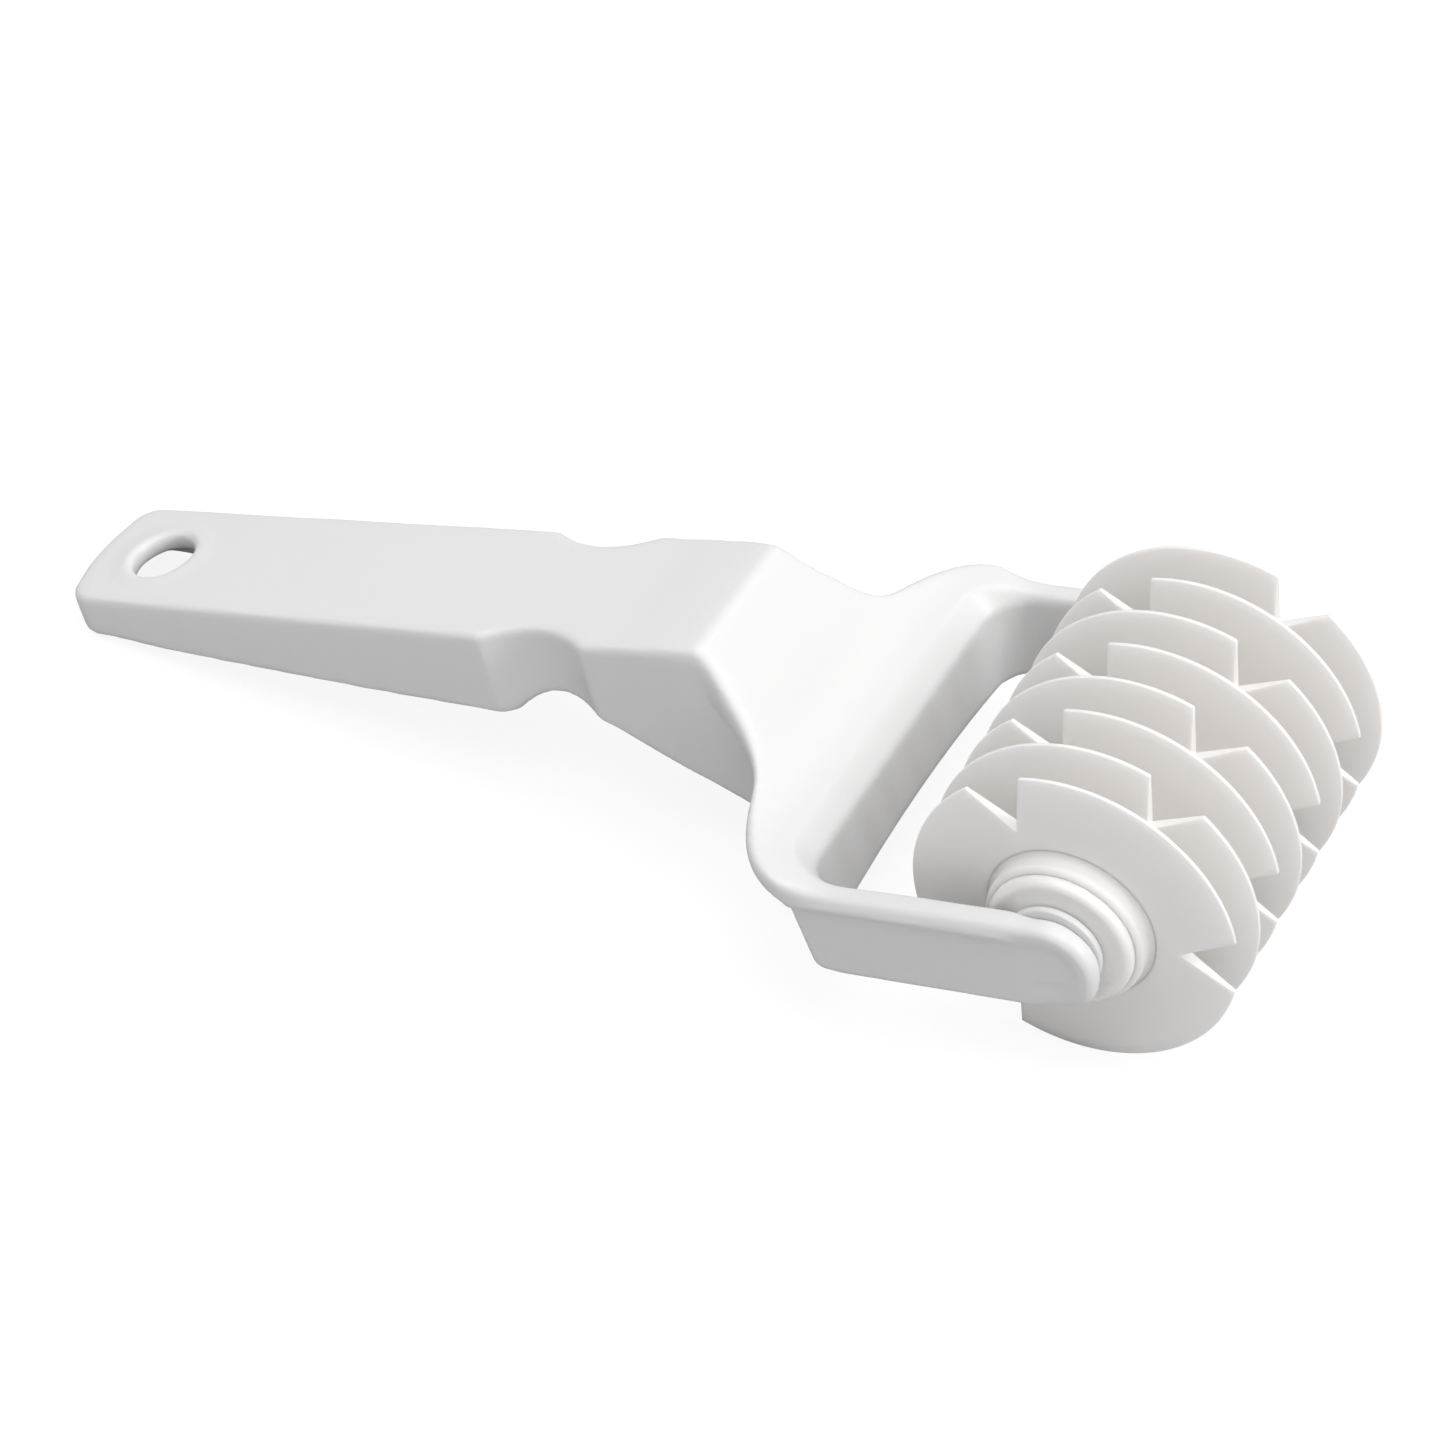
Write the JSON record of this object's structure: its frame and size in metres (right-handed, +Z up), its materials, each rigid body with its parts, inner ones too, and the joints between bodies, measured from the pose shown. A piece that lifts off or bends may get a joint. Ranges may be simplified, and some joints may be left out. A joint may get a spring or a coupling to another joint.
{
  "type": "lattice roller cutter",
  "caption": "White plastic pastry lattice roller: notched cutting discs on a keyed axle turn freely in the fork of a hollow handle with finger grooves and a hanging hole.",
  "frame": {"origin": "on the table under the middle of the tool's box, as it lies on its roller and the handle's heel", "axes": "+X from the handle to the roller, +Y along the roller's axle, +Z up from the table"},
  "size_m": [0.2064, 0.077, 0.05],
  "materials": {
    "handle_white": "neutral white moulded plastic, satin gloss",
    "roller_white": "slightly warm white moulded plastic, a little translucent at its thin edges"
  },
  "bodies": {
    "handle": {"handle_fork": "handle_white"},
    "roller": {"axle": "roller_white", "cutter_disc_1": "roller_white", "cutter_disc_2": "roller_white", "cutter_disc_3": "roller_white", "cutter_disc_4": "roller_white", "cutter_disc_5": "roller_white", "cutter_disc_6": "roller_white", "cutter_disc_7": "roller_white", "cutter_disc_8": "roller_white", "spacer_1": "roller_white", "spacer_2": "roller_white", "spacer_3": "roller_white", "spacer_4": "roller_white", "spacer_5": "roller_white", "spacer_6": "roller_white", "spacer_7": "roller_white", "end_flange_near": "roller_white", "end_flange_far": "roller_white", "end_cap_near": "roller_white", "end_cap_far": "roller_white"}
  },
  "joints": [
    {"name": "roller_spin", "type": "hinge", "parent": "handle", "child": "roller", "pos_m": [0.07818, 0, 0.025], "axis": [0, 1, 0], "continuous": true}
  ]
}
